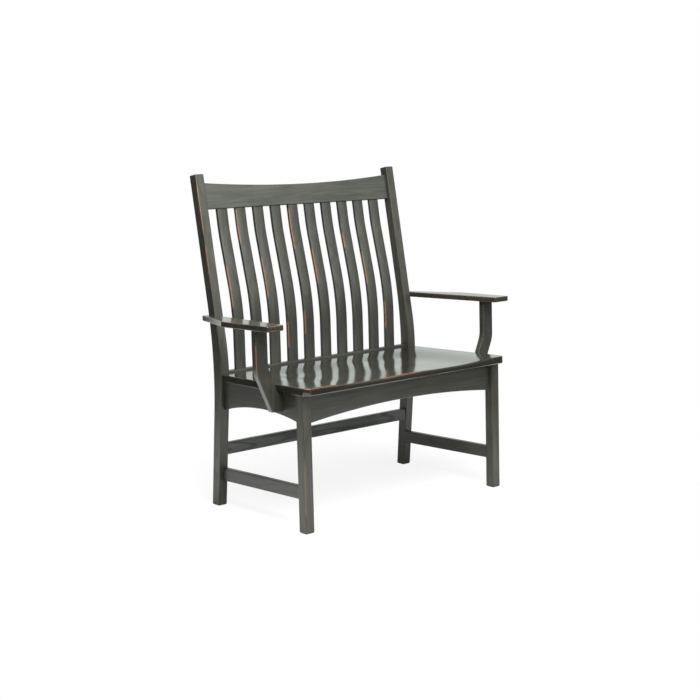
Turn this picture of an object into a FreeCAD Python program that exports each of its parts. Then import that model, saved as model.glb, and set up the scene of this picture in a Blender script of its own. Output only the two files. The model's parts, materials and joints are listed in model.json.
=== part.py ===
import FreeCAD, Part
import math
import os

# A two-seat deacons bench in oak. Everything is set out square to the seat: x across the bench
# from its middle, y back from the front legs, z up from the foot of the front legs.
# The finished frame is then pitched back onto its feet and moved to its own origin.

# Overall frame, millimetres and degrees
FRAME_WIDTH = 916.0           # over the outside of the legs
FRAME_PITCH = 2.18            # lean of the whole frame
LEG_SIZE = 35.0               # front leg, square, and rear post seen from the front
RAIL_THICKNESS = 20.0         # aprons and stretchers, flush with the inside of the legs
FOOT_CHAMFER = 3.5
ARRIS = 1.5                   # easing of every edge that a hand can reach

# Seat: a slab glued up from boards and hollowed for two sitters
SEAT_TOP = 477.0
SEAT_THICKNESS = 26.0
SEAT_BOARD_COUNT = 4
SEAT_FRONT_OVERHANG = 25.0
SEAT_SIDE_OVERHANG = 10.0     # beyond the outside of the front legs
SEAT_POST_LAP = 30.0          # beyond the inside of the rear posts
SEAT_CORNER_RADIUS = 25.0
SEAT_UNDER_CHAMFER = 3.0
SEAT_NOTCH_GAP = 0.5          # round each rear post
DISH_DEPTH = 10.5
DISH_FRONT_SHARE = 0.68       # how much of the hollow runs out over the front edge
DISH_END_MARGIN = 26.0        # flat left at each end
DISH_END_SLOPE = 210.0        # length over which each end falls
DISH_DEEPEST = 250.0          # distance of the deepest line from the front legs
DISH_REAR_MARGIN = 18.0       # flat left in front of the back rail
DISH_RIDGE_SHARE = 0.42       # height kept by the ridge between the two hollows
DISH_RIDGE_WIDTH = 95.0
DISH_COLUMNS = 41             # points that carry the smooth surface
DISH_ROWS = 21

# Rear posts: splayed below the seat, raked above it
POST_FOOT_Y = 466.0           # front face at the floor
POST_FOOT_DEPTH = 36.0
POST_TOP_DEPTH = 33.5
POST_HEIGHT = 1150.0
POST_SPLAY_FRONT = 5.6
POST_SPLAY_BACK = 5.15
POST_RAKE = 9.6
POST_KNEE_HEIGHT = 503.0
POST_FRONT_BEND_RADIUS = 740.0
POST_BACK_BEND_RADIUS = 1430.0

# Aprons under the seat, each with an arched lower edge
APRON_END_HEIGHT = 96.0
APRON_ARCH_RISE = 26.0
FRONT_APRON_INSET = LEG_SIZE - RAIL_THICKNESS
SIDE_APRON_INSET = LEG_SIZE - RAIL_THICKNESS

# Back rail, which carries the slats
BACK_RAIL_THICKNESS = 24.0
BACK_RAIL_SETBACK = 10.8      # behind the front faces of the posts at the foot of the aprons
BACK_RAIL_ABOVE_SEAT = 7.0
BACK_RAIL_HEIGHT = 112.0

# Stretchers
SIDE_STRETCHER_TOP = 150.0
SIDE_STRETCHER_HEIGHT = 43.0
REAR_STRETCHER_TOP = 236.5
REAR_STRETCHER_HEIGHT = 41.0
REAR_STRETCHER_SETBACK = 3.5  # behind the front faces of the posts

# Crest rail, in line with the raked posts
CREST_END_HEIGHT = 90.0
POST_ABOVE_CREST = 28.7       # along the post
CREST_DIP = 18.0
CREST_THICKNESS = 20.0
CREST_SETBACK = 12.0

# Slats, bent in an S to fit the back
SLAT_COUNT = 10
SLAT_WIDTH = 43.0
SLAT_THICKNESS = 11.5
SLAT_ARRIS = 1.2
SLAT_END_GAP = 49.0           # from a rear post to the nearest slat
SLAT_STRAIGHT_FOOT = 112.0    # straight length above the back rail
SLAT_STRAIGHT_MIDDLE = 146.0  # straight length between the two bends
SLAT_STRAIGHT_HEAD = 50.0     # straight length below the crest rail
SLAT_LOWER_SHARE = 0.565      # of the two bend radii together
SLAT_HEAD_LEAN = 8.0
SLAT_TENON = 15.0             # let into the back rail and the crest rail

# Arms
ARM_TOP = 679.0
ARM_THICKNESS = 18.0
ARM_FRONT_Y = 41.0
ARM_OVERHANG = 101.0          # outside the front leg
ARM_FRONT_WIDTH = 68.0
ARM_SHOULDER_Y = 278.0        # where the outer edge starts to draw in
ARM_TAIL_WIDTH = 33.0
ARM_TAIL_SHORT_OF_BACK = 5.0
ARM_TAIL_HOLLOW = 5.0
ARM_CORNER_RADIUS = 5.0

# Arm supports, which bear on the side aprons and sweep out to the arms
SUPPORT_THICKNESS = 20.0
SUPPORT_Y = 112.5             # front face
SUPPORT_WIDTH = 49.2
SUPPORT_INSET = 8.3           # behind the outer edge of the arm
SUPPORT_SWEEP = 24.0          # slope of its lower leg
SUPPORT_LEDGE = 21.2          # from the apron's face to its inner edge, under the seat
SUPPORT_BELOW_SEAT = 61.0
SUPPORT_BEND_RADIUS = 90.0
SUPPORT_SEAT_GAP = 0.3

# Joinery
TENON_THICKNESS = 10.0
TENON_LENGTH = 20.0
APRON_TENON_LENGTH = 14.0     # into a rear post, short of the back rail's tenon
TENON_SHOULDER = 8.0          # above and below each tenon
JOINT_FIT = 0.1               # round a tenon in its mortise
MORTISE_EXTRA_DEPTH = 0.8
MITRE_GAP = 0.5

# Corner blocks and fasteners
BLOCK_LEG = 62.0
BLOCK_HEIGHT = 40.0
SCREW_SHANK = 4.0
SCREW_HEAD = 8.0
SCREW_HEAD_HEIGHT = 2.4
SCREW_POINT = 4.0
SCREW_TIP = 0.6
SCREW_SIDES = 10
SCREW_FIT = 0.1
BLOCK_SCREW_LENGTH = 26.0
BLOCK_SCREW_BITE = 13.0       # length of the screw inside the apron
BLOCK_SCREW_OFFSET = 34.0     # from the corner that the block fills
SEAT_SCREW_LENGTH = 38.0
SEAT_SCREW_BITE = 13.0
SEAT_SCREW_OFFSET = 18.0
SUPPORT_SCREW_LENGTH = 38.0
SUPPORT_SCREW_SPACING = 26.0
ARM_SCREW_LENGTH = 46.0
ARM_SCREW_RECESS = 9.0
ARM_PLUG_DIAMETER = 9.5
ARM_PLUG_GAP = 0.5            # from the plug to the head of the screw
DOWEL_DIAMETER = 8.0
DOWEL_LENGTH = 26.0
DOWEL_SPACING = 24.0

# Values that follow from the ones above
HALF = FRAME_WIDTH / 2
INNER = HALF - LEG_SIZE
SEAT_BOTTOM = SEAT_TOP - SEAT_THICKNESS
SEAT_FRONT_HALF = HALF + SEAT_SIDE_OVERHANG
SEAT_REAR_HALF = INNER + SEAT_POST_LAP
SUPPORT_BOTTOM = SEAT_BOTTOM - SUPPORT_BELOW_SEAT
ARM_OUTER_X = HALF + ARM_OVERHANG
ARM_BOTTOM = ARM_TOP - ARM_THICKNESS
SLAT_PITCH = (2 * (INNER - SLAT_END_GAP) - SLAT_WIDTH) / (SLAT_COUNT - 1)
CREST_BOTTOM = POST_HEIGHT - (POST_ABOVE_CREST + CREST_END_HEIGHT) * math.cos(math.radians(POST_RAKE))
BACK_RAIL_TOP = SEAT_TOP + BACK_RAIL_ABOVE_SEAT
SLOPE = math.tan(math.radians(FRAME_PITCH))
TINY = 1e-6


def vec(x, y, z):
    return FreeCAD.Vector(x, y, z)


def box(x0, x1, y0, y1, z0, z1):
    return Part.makeBox(x1 - x0, y1 - y0, z1 - z0, vec(x0, y0, z0))


def mirrored(shape):
    return shape.mirror(vec(0, 0, 0), vec(1, 0, 0))


def unit(a, b):
    dx = b[0] - a[0]
    dy = b[1] - a[1]
    length = math.hypot(dx, dy)
    return dx / length, dy / length


def outline(corners, place):
    """A closed wire through corners (a, b, radius), with an arc wherever the radius isn't zero."""
    edges = []
    starts = []
    ends = []
    middles = []
    count = len(corners)
    for i, (a, b, radius) in enumerate(corners):
        before = unit((a, b), corners[i - 1][:2])
        after = unit((a, b), corners[(i + 1) % count][:2])
        if radius == 0:
            starts.append((a, b))
            ends.append((a, b))
            middles.append(None)
            continue
        half_angle = math.acos(before[0] * after[0] + before[1] * after[1]) / 2
        run = radius / math.tan(half_angle)
        starts.append((a + before[0] * run, b + before[1] * run))
        ends.append((a + after[0] * run, b + after[1] * run))
        toward = unit((0, 0), (before[0] + after[0], before[1] + after[1]))
        reach = radius / math.sin(half_angle) - radius
        middles.append((a + toward[0] * reach, b + toward[1] * reach))
    for i in range(count):
        if middles[i] is not None:
            edges.append(Part.Arc(place(*starts[i]), place(*middles[i]), place(*ends[i])).toShape())
        after = starts[(i + 1) % count]
        if math.hypot(after[0] - ends[i][0], after[1] - ends[i][1]) > TINY:
            edges.append(Part.LineSegment(place(*ends[i]), place(*after)).toShape())
    return Part.Wire(edges)


def side_plane(x):
    return lambda y, z: vec(x, y, z)


def front_plane(y):
    return lambda x, z: vec(x, y, z)


def level_plane(z):
    return lambda x, y: vec(x, y, z)


def prism(wire, along):
    return Part.Face(wire).extrude(along)


def long_edges(shape, way, reach):
    """The edges of a shape that run further than reach along one axis."""
    return [edge for edge in shape.Edges
            if abs(getattr(edge.Vertexes[0], way) - getattr(edge.Vertexes[-1], way)) > reach]


def eased(shape, edges, size=ARRIS):
    return shape.makeChamfer(size, edges)


def floor_at(y):
    """Height of the floor under the square frame, which the pitch tips forward."""
    return y * SLOPE


class PostLines:
    """The straight faces of a rear post in side view, before its knees are rounded."""

    def __init__(self):
        self.low_front = -math.tan(math.radians(POST_SPLAY_FRONT))
        self.low_back = -math.tan(math.radians(POST_SPLAY_BACK))
        self.high = math.tan(math.radians(POST_RAKE))
        self.foot_back = POST_FOOT_Y + POST_FOOT_DEPTH
        self.knee_y = POST_FOOT_Y + self.low_front * POST_KNEE_HEIGHT
        self.depth = POST_TOP_DEPTH / math.cos(math.radians(POST_RAKE))
        high_at_foot = self.knee_y - self.high * POST_KNEE_HEIGHT + self.depth
        self.back_knee_z = (self.foot_back - high_at_foot) / (self.high - self.low_back)
        self.back_knee_y = self.foot_back + self.low_back * self.back_knee_z

    def front_low_y(self, z):
        return POST_FOOT_Y + self.low_front * z

    def front_high_y(self, z):
        return self.knee_y + self.high * (z - POST_KNEE_HEIGHT)

    def foot(self, y, slope):
        """Where a lower face that starts at y on the floor line really meets the floor."""
        z = floor_at(y) / (1 - slope * SLOPE)
        return y + slope * z, z


POST = PostLines()
BACK_RAIL_Y = POST.front_low_y(SEAT_BOTTOM - APRON_END_HEIGHT) + BACK_RAIL_SETBACK


def face_y(shape, z, back=False):
    """The depth of a post's front or back face at height z, read from the solid itself."""
    x = HALF - LEG_SIZE / 2
    line = Part.LineSegment(vec(x, -POST_HEIGHT, z), vec(x, POST_FOOT_Y + POST_HEIGHT, z)).toShape()
    hits = [v.Y for v in shape.common(line).Vertexes]
    return max(hits) if back else min(hits)


def post_blank():
    """A right-hand rear post before its mortises are cut."""
    foot_front = POST.foot(POST_FOOT_Y, POST.low_front)
    foot_back = POST.foot(POST.foot_back, POST.low_back)
    rake = math.radians(POST_RAKE)
    top_front = (POST.front_high_y(POST_HEIGHT), POST_HEIGHT)
    top_back = (top_front[0] + POST_TOP_DEPTH * math.cos(rake),
                top_front[1] - POST_TOP_DEPTH * math.sin(rake))
    corners = [
        (foot_front[0], foot_front[1], 0),
        (POST.knee_y, POST_KNEE_HEIGHT, POST_FRONT_BEND_RADIUS),
        (top_front[0], top_front[1], 0),
        (top_back[0], top_back[1], 0),
        (POST.back_knee_y, POST.back_knee_z, POST_BACK_BEND_RADIUS),
        (foot_back[0], foot_back[1], 0),
    ]
    post = chamfer_foot(prism(outline(corners, side_plane(INNER)), vec(LEG_SIZE, 0, 0)))
    highest = max(post.Faces, key=lambda face: face.CenterOfMass.z)
    return eased(post, long_edges(post, "Z", POST_TOP_DEPTH) + highest.Edges)


def front_leg_blank():
    corners = [(0, 0, 0), (0, SEAT_BOTTOM, 0), (LEG_SIZE, SEAT_BOTTOM, 0), (LEG_SIZE, floor_at(LEG_SIZE), 0)]
    leg = chamfer_foot(prism(outline(corners, side_plane(INNER)), vec(LEG_SIZE, 0, 0)))
    return eased(leg, long_edges(leg, "Z", LEG_SIZE))


def chamfer_foot(shape):
    """Break the four edges round the bottom of a leg, and the lowest part of its corners with them."""
    lowest = min(shape.Faces, key=lambda face: face.CenterOfMass.z)
    return shape.makeChamfer(FOOT_CHAMFER, lowest.Edges)


def arched_board(start, end, top, place, along):
    """A board between two shoulders, straight on top and arched below, its lower edges eased."""
    foot = top - APRON_END_HEIGHT
    arc = Part.Arc(place(start, foot), place((start + end) / 2, foot + APRON_ARCH_RISE), place(end, foot))
    edges = [
        arc.toShape(),
        Part.LineSegment(place(end, foot), place(end, top)).toShape(),
        Part.LineSegment(place(end, top), place(start, top)).toShape(),
        Part.LineSegment(place(start, top), place(start, foot)).toShape(),
    ]
    board = prism(Part.Wire(edges), along)
    arches = [edge for edge in board.Edges if foot + TINY < edge.CenterOfMass.z < foot + APRON_ARCH_RISE]
    return eased(board, arches)


def mitred_tenon(grow):
    """The right-hand tenon of the front apron and that of the side apron, which meet on a mitre."""
    near = (RAIL_THICKNESS - TENON_THICKNESS) / 2 - grow
    far = near + TENON_THICKNESS + 2 * grow
    gap = MITRE_GAP / 2 - grow
    low = SEAT_BOTTOM - APRON_END_HEIGHT + TENON_SHOULDER - grow
    high = SEAT_BOTTOM - TENON_SHOULDER + grow
    across = [(INNER, LEG_SIZE - near, 0), (INNER + near - gap, LEG_SIZE - near, 0),
              (INNER + far - gap, LEG_SIZE - far, 0), (INNER, LEG_SIZE - far, 0)]
    along = [(INNER + near, LEG_SIZE, 0), (INNER + near, LEG_SIZE - near + gap, 0),
             (INNER + far, LEG_SIZE - far + gap, 0), (INNER + far, LEG_SIZE, 0)]
    rise = vec(0, 0, high - low)
    return prism(outline(across, level_plane(low)), rise), prism(outline(along, level_plane(low)), rise)


def tenon_into_post(face, length, height_low, height_high, grow):
    """A straight tenon that enters a rear post's front face from a side rail."""
    middle = INNER + RAIL_THICKNESS / 2
    half = TENON_THICKNESS / 2 + grow
    deep = length + (MORTISE_EXTRA_DEPTH if grow else 0)
    return box(middle - half, middle + half, face - RAIL_THICKNESS, face + deep,
               height_low + TENON_SHOULDER - grow, height_high - TENON_SHOULDER + grow)


def tenon_into_side(y_middle, height_low, height_high, grow, root=0.0):
    """A straight tenon that enters the inside face of a leg from a rail across the bench."""
    half = TENON_THICKNESS / 2 + grow
    deep = TENON_LENGTH + (MORTISE_EXTRA_DEPTH if grow else 0)
    return box(INNER - root, INNER + deep, y_middle - half, y_middle + half,
               height_low + TENON_SHOULDER - grow, height_high - TENON_SHOULDER + grow)


def tenon_into_leg(height_low, height_high, grow, root=0.0):
    """A straight tenon that enters the back face of a front leg from a side stretcher."""
    middle = INNER + RAIL_THICKNESS / 2
    half = TENON_THICKNESS / 2 + grow
    deep = TENON_LENGTH + (MORTISE_EXTRA_DEPTH if grow else 0)
    return box(middle - half, middle + half, LEG_SIZE - deep, LEG_SIZE + root,
               height_low + TENON_SHOULDER - grow, height_high - TENON_SHOULDER + grow)


def screw(head, direction, length):
    """A countersunk wood screw: its head's top centre, the way it is driven and its length."""
    profile = [(SCREW_HEAD / 2, 0), (SCREW_SHANK / 2, -SCREW_HEAD_HEIGHT),
               (SCREW_SHANK / 2, SCREW_POINT - length), (SCREW_TIP / 2, -length)]
    return driven(profile, head, direction)


def screw_hole(head, direction, length, recess=SCREW_FIT):
    """The hole that a screw fills, with a straight recess over its head."""
    shank = SCREW_SHANK / 2 + SCREW_FIT
    top = SCREW_HEAD / 2 + SCREW_FIT
    profile = [(top, recess), (top, 0), (shank, -SCREW_HEAD_HEIGHT), (shank, -length - SCREW_FIT)]
    return driven(profile, head, direction)


def driven(profile, head, direction):
    """A screw or its hole from (radius, height) pairs, with flat sides so that it stays a light model."""
    rings = []
    for radius, height in profile:
        turns = [math.tau * i / SCREW_SIDES for i in range(SCREW_SIDES)]
        rings.append([vec(radius * math.cos(turn), radius * math.sin(turn), height) for turn in turns])
    faces = [flat_face(rings[0]), flat_face(rings[-1])]
    for upper, lower in zip(rings, rings[1:]):
        for i in range(SCREW_SIDES):
            after = (i + 1) % SCREW_SIDES
            faces.append(flat_face([upper[i], upper[after], lower[after], lower[i]]))
    solid = Part.makeSolid(Part.makeShell(faces))
    solid.Placement = FreeCAD.Placement(vec(*head), FreeCAD.Rotation(vec(0, 0, -1), vec(*direction)))
    return solid


def flat_face(points):
    return Part.Face(Part.makePolygon(points + points[:1]))


def smooth_step(t):
    t = min(max(t, 0.0), 1.0)
    return t * t * t * (t * (6 * t - 15) + 10)


def dish_depth(x, y):
    """How far the seat is hollowed below its flat top at a point."""
    reach = SEAT_REAR_HALF - DISH_END_MARGIN
    across = smooth_step((reach - abs(x)) / DISH_END_SLOPE)
    ridge = 1 - DISH_RIDGE_SHARE * math.exp(-((x / DISH_RIDGE_WIDTH) ** 2))
    if y > DISH_DEEPEST:
        rear = BACK_RAIL_Y - DISH_REAR_MARGIN
        along = smooth_step((rear - y) / (rear - DISH_DEEPEST))
    else:
        front = smooth_step((DISH_DEEPEST - y) / (DISH_DEEPEST + SEAT_FRONT_OVERHANG))
        along = 1 - (1 - DISH_FRONT_SHARE) * front
    return DISH_DEPTH * across * ridge * along


def dish_cutter():
    """All that is planed off the top, bounded below by one smooth surface."""
    half = SEAT_FRONT_HALF + DISH_DEPTH
    near = -SEAT_FRONT_OVERHANG - DISH_DEPTH
    far = BACK_RAIL_Y + DISH_DEPTH
    grid = []
    for i in range(DISH_COLUMNS):
        x = -half + 2 * half * i / (DISH_COLUMNS - 1)
        column = []
        for j in range(DISH_ROWS):
            y = near + (far - near) * j / (DISH_ROWS - 1)
            column.append(vec(x, y, SEAT_TOP - dish_depth(x, y)))
        grid.append(column)
    surface = Part.BSplineSurface()
    surface.interpolate(grid)
    return surface.toShape().extrude(vec(0, 0, DISH_DEPTH * 3))


def seat_edge_x(y):
    """Half the width of the seat at depth y: its sides draw in a little towards the back."""
    share = (y + SEAT_FRONT_OVERHANG) / (BACK_RAIL_Y + SEAT_FRONT_OVERHANG)
    return SEAT_FRONT_HALF - share * (SEAT_FRONT_HALF - SEAT_REAR_HALF)


def seat_slab(post):
    """The seat as one board, left too thick for the hollowing to give it its top."""
    notch_y = min(face_y(post, SEAT_BOTTOM), face_y(post, SEAT_TOP)) - SEAT_NOTCH_GAP
    notch_x = INNER - SEAT_NOTCH_GAP
    front = -SEAT_FRONT_OVERHANG
    right = [(seat_edge_x(front), front, SEAT_CORNER_RADIUS), (seat_edge_x(notch_y), notch_y, 0),
             (notch_x, notch_y, 0), (notch_x, BACK_RAIL_Y, 0)]
    left = [(-x, y, radius) for x, y, radius in reversed(right)]
    slab = prism(outline(right + left, level_plane(SEAT_BOTTOM)), vec(0, 0, SEAT_THICKNESS + DISH_DEPTH))
    under = [edge for edge in slab.Edges
             if max(v.Z for v in edge.Vertexes) < SEAT_BOTTOM + TINY and edge.CenterOfMass.y < notch_y - TINY]
    return slab.makeChamfer(SEAT_UNDER_CHAMFER, under)


def seat_boards(post):
    """The slab, hollowed, then parted along its glue lines."""
    room = support_blank(SUPPORT_SEAT_GAP)
    seat = cut_all(seat_slab(post), [dish_cutter(), room, mirrored(room)])
    depth = BACK_RAIL_Y + SEAT_FRONT_OVERHANG
    boards = []
    for i in range(SEAT_BOARD_COUNT):
        near = -SEAT_FRONT_OVERHANG + depth * i / SEAT_BOARD_COUNT
        far = -SEAT_FRONT_OVERHANG + depth * (i + 1) / SEAT_BOARD_COUNT
        boards.append(seat.common(box(-FRAME_WIDTH, FRAME_WIDTH, near, far, 0, SEAT_TOP + DISH_DEPTH)))
    return boards


class Crest:
    """The place of the crest rail: it lies along the rake of the posts, set back from their front."""

    def __init__(self):
        self.rake = math.radians(POST_RAKE)
        self.y = POST.front_high_y(CREST_BOTTOM) + CREST_SETBACK * math.cos(self.rake)
        self.z = CREST_BOTTOM - CREST_SETBACK * math.sin(self.rake)
        self.placement = FreeCAD.Placement(
            vec(0, self.y, self.z), FreeCAD.Rotation(vec(1, 0, 0), -POST_RAKE))

    def put(self, shape):
        shape.Placement = self.placement
        return shape

    def board(self):
        place = front_plane(0)
        top = CREST_END_HEIGHT
        arc = Part.Arc(place(-INNER, top), place(0, top - CREST_DIP), place(INNER, top))
        edges = [
            arc.toShape(),
            Part.LineSegment(place(INNER, top), place(INNER, 0)).toShape(),
            Part.LineSegment(place(INNER, 0), place(-INNER, 0)).toShape(),
            Part.LineSegment(place(-INNER, 0), place(-INNER, top)).toShape(),
        ]
        board = prism(Part.Wire(edges), vec(0, CREST_THICKNESS, 0))
        return self.put(eased(board, long_edges(board, "X", INNER)))

    def tenon(self, grow, root=0.0):
        middle = CREST_THICKNESS / 2
        half = TENON_THICKNESS / 2 + grow
        deep = TENON_LENGTH + (MORTISE_EXTRA_DEPTH if grow else 0)
        return self.put(box(INNER - root, INNER + deep, middle - half, middle + half,
                            TENON_SHOULDER - grow, CREST_END_HEIGHT - TENON_SHOULDER + grow))

    def slat_seat(self):
        """The middle of the rail's lower face, where a slat enters."""
        middle = CREST_THICKNESS / 2
        return self.y + middle * math.cos(self.rake), self.z - middle * math.sin(self.rake)


class SlatPath:
    """The middle line of a slat in side view: straight, bent back, straight, bent forward, straight."""

    def __init__(self, crest):
        self.head_lean = math.radians(SLAT_HEAD_LEAN)
        self.foot_y = BACK_RAIL_Y + BACK_RAIL_THICKNESS / 2
        self.low_z = BACK_RAIL_TOP + SLAT_STRAIGHT_FOOT
        seat_y, seat_z = crest.slat_seat()
        self.up = (math.sin(self.head_lean), math.cos(self.head_lean))
        self.high_y = seat_y - SLAT_STRAIGHT_HEAD * self.up[0]
        self.high_z = seat_z - SLAT_STRAIGHT_HEAD * self.up[1]
        together = self.both_radii()
        self.low_radius = together * SLAT_LOWER_SHARE
        self.high_radius = together - self.low_radius
        self.lower = (self.foot_y + self.low_radius, self.low_z)
        self.upper = (self.high_y - self.high_radius * self.up[1],
                      self.high_z + self.high_radius * self.up[0])
        across = self.upper[0] - self.lower[0]
        rise = self.upper[1] - self.lower[1]
        self.lean = math.atan2(across, rise) + math.atan2(together, SLAT_STRAIGHT_MIDDLE)

    def both_radii(self):
        """The sum of the two radii that leaves the straight length between the bends."""
        across = self.high_y - self.foot_y
        rise = self.high_z - self.low_z
        cosine = SLAT_LOWER_SHARE + (1 - SLAT_LOWER_SHARE) * self.up[1]
        sine = (1 - SLAT_LOWER_SHARE) * self.up[0]
        a = 1 - cosine ** 2 - sine ** 2
        b = 2 * (across * cosine - rise * sine)
        c = across ** 2 + rise ** 2 - SLAT_STRAIGHT_MIDDLE ** 2
        return 2 * c / (b + math.sqrt(b ** 2 + 4 * a * c))

    def side(self, offset, extra):
        """The edges of one face, offset back from the middle line, from the foot to the head."""
        def on_lower(angle):
            radius = self.low_radius - offset
            return vec(0, self.lower[0] - radius * math.cos(angle), self.lower[1] + radius * math.sin(angle))

        def on_upper(angle):
            radius = self.high_radius + offset
            return vec(0, self.upper[0] + radius * math.cos(angle), self.upper[1] - radius * math.sin(angle))

        foot = vec(0, self.foot_y + offset, BACK_RAIL_TOP - SLAT_TENON - extra)
        reach = SLAT_STRAIGHT_HEAD + SLAT_TENON + extra
        head = on_upper(self.head_lean) + vec(0, self.up[0], self.up[1]) * reach
        return [
            Part.LineSegment(foot, on_lower(0)).toShape(),
            Part.Arc(on_lower(0), on_lower(self.lean / 2), on_lower(self.lean)).toShape(),
            Part.LineSegment(on_lower(self.lean), on_upper(self.lean)).toShape(),
            Part.Arc(on_upper(self.lean), on_upper((self.lean + self.head_lean) / 2),
                     on_upper(self.head_lean)).toShape(),
            Part.LineSegment(on_upper(self.head_lean), head).toShape(),
        ], foot, head

    def solid(self, x, grow=0.0):
        half = SLAT_THICKNESS / 2 + grow
        extra = MORTISE_EXTRA_DEPTH if grow else 0
        front, front_foot, front_head = self.side(-half, extra)
        back, back_foot, back_head = self.side(half, extra)
        ends = [Part.LineSegment(front_foot, back_foot).toShape(),
                Part.LineSegment(front_head, back_head).toShape()]
        wire = Part.Wire(Part.__sortEdges__(front + back + ends))
        slat = prism(wire, vec(SLAT_WIDTH + 2 * grow, 0, 0))
        slat = eased(slat, long_edges(slat, "Z", SLAT_THICKNESS), SLAT_ARRIS)
        slat.translate(vec(x - SLAT_WIDTH / 2 - grow, 0, 0))
        return slat


def slat_places():
    return [(i - (SLAT_COUNT - 1) / 2) * SLAT_PITCH for i in range(SLAT_COUNT)]


def arm_blank(post):
    """A right-hand arm: broad at the front, its outer edge drawn in to lap the outside of the post."""
    meets_y = face_y(post, ARM_BOTTOM)
    tail_y = face_y(post, ARM_BOTTOM, back=True) - ARM_TAIL_SHORT_OF_BACK
    inner_front = ARM_OUTER_X - ARM_FRONT_WIDTH
    tail_x = HALF + ARM_TAIL_WIDTH
    shoulder = (ARM_OUTER_X, ARM_SHOULDER_Y)
    tip = (tail_x, tail_y)
    along = unit(shoulder, tip)
    hollow = ((shoulder[0] + tip[0]) / 2 - along[1] * ARM_TAIL_HOLLOW,
              (shoulder[1] + tip[1]) / 2 + along[0] * ARM_TAIL_HOLLOW)
    place = level_plane(ARM_BOTTOM)
    edges = [
        Part.LineSegment(place(HALF, meets_y), place(inner_front, ARM_FRONT_Y)).toShape(),
        Part.LineSegment(place(inner_front, ARM_FRONT_Y), place(ARM_OUTER_X, ARM_FRONT_Y)).toShape(),
        Part.LineSegment(place(ARM_OUTER_X, ARM_FRONT_Y), place(*shoulder)).toShape(),
        Part.Arc(place(*shoulder), place(*hollow), place(*tip)).toShape(),
        Part.LineSegment(place(*tip), place(HALF, tail_y)).toShape(),
        Part.LineSegment(place(HALF, tail_y), place(HALF, meets_y)).toShape(),
    ]
    arm = prism(Part.Wire(edges), vec(0, 0, ARM_THICKNESS))
    upright = [edge for edge in arm.Edges
               if abs(edge.Vertexes[0].Z - edge.Vertexes[-1].Z) > ARM_THICKNESS / 2
               and (edge.CenterOfMass.y < ARM_FRONT_Y + TINY
                    or abs(edge.CenterOfMass.x - tail_x) < TINY)]
    arm = arm.makeFillet(ARM_CORNER_RADIUS, upright)
    rims = [edge for edge in arm.Edges
            if abs(edge.Vertexes[0].Z - edge.Vertexes[-1].Z) < TINY
            and abs(edge.CenterOfMass.x - HALF) > TINY]
    return eased(arm, rims)


def support_blank(grow=0.0):
    """A right-hand arm support: plumb under the arm, swept in below to bear on the side apron."""
    outer = ARM_OUTER_X - SUPPORT_INSET + grow
    inner = outer - SUPPORT_WIDTH - 2 * grow
    sweep = math.tan(math.radians(SUPPORT_SWEEP))
    apron_face = INNER + RAIL_THICKNESS
    ledge = SEAT_BOTTOM - SUPPORT_SEAT_GAP + grow
    inner_knee = ledge + (inner - apron_face - SUPPORT_LEDGE + grow) / sweep
    outer_knee = inner_knee - (outer - inner) * math.tan(math.radians(SUPPORT_SWEEP) / 2)
    corners = [
        (inner, ARM_BOTTOM, 0),
        (outer, ARM_BOTTOM, 0),
        (outer, outer_knee, SUPPORT_BEND_RADIUS),
        (outer - sweep * (outer_knee - SUPPORT_BOTTOM), SUPPORT_BOTTOM, 0),
        (apron_face, SUPPORT_BOTTOM, 0),
        (apron_face, ledge, 0),
        (inner - sweep * (inner_knee - ledge), ledge, 0),
        (inner, inner_knee, SUPPORT_BEND_RADIUS),
    ]
    return prism(outline(corners, front_plane(SUPPORT_Y - grow)), vec(0, SUPPORT_THICKNESS + 2 * grow, 0))


def support_solid():
    """The support with its edges eased, but for those that bear on the apron, the seat and the arm."""
    support = support_blank()
    free = [edge for edge in support.Edges
            if abs(edge.Vertexes[0].Y - edge.Vertexes[-1].Y) < TINY
            and edge.CenterOfMass.x > INNER + RAIL_THICKNESS + TINY
            and SUPPORT_BOTTOM < edge.CenterOfMass.z < ARM_BOTTOM - TINY
            and abs(edge.CenterOfMass.z - SEAT_BOTTOM + SUPPORT_SEAT_GAP) > TINY]
    return eased(support, free)


def dowel_places():
    middle_x = ARM_OUTER_X - SUPPORT_INSET - SUPPORT_WIDTH / 2
    middle_y = SUPPORT_Y + SUPPORT_THICKNESS / 2
    return [(middle_x + side * DOWEL_SPACING / 2, middle_y) for side in (-1, 1)]


def dowel(x, y, grow=0.0):
    length = DOWEL_LENGTH + 2 * (MORTISE_EXTRA_DEPTH if grow else 0)
    return Part.makeCylinder(DOWEL_DIAMETER / 2 + grow, length, vec(x, y, ARM_BOTTOM - length / 2))


def support_screws():
    """Two screws through the right-hand side apron into the heel of the support."""
    middle = (SUPPORT_BOTTOM + SEAT_BOTTOM) / 2
    y = SUPPORT_Y + SUPPORT_THICKNESS / 2
    return [((INNER, y, middle + side * SUPPORT_SCREW_SPACING / 2), (1, 0, 0), SUPPORT_SCREW_LENGTH)
            for side in (-1, 1)]


def arm_screw(post):
    """One screw from the inside face of the right-hand post into the tail of the arm."""
    z = (ARM_BOTTOM + ARM_TOP) / 2
    y = (face_y(post, z) + face_y(post, z, back=True)) / 2
    return (INNER + ARM_SCREW_RECESS, y, z), (1, 0, 0), ARM_SCREW_LENGTH


def arm_plug(hidden, length, grow=0.0):
    """The plug over the arm screw, or its hole, level with the inside face of the post."""
    return Part.makeCylinder(ARM_PLUG_DIAMETER / 2 + grow, length, vec(INNER, *hidden[0][1:]), vec(1, 0, 0))


def block_corner(rear):
    """The inside corner that a right-hand block fills, and the way its other leg runs."""
    return (INNER, BACK_RAIL_Y, -1) if rear else (INNER, LEG_SIZE, 1)


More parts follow.
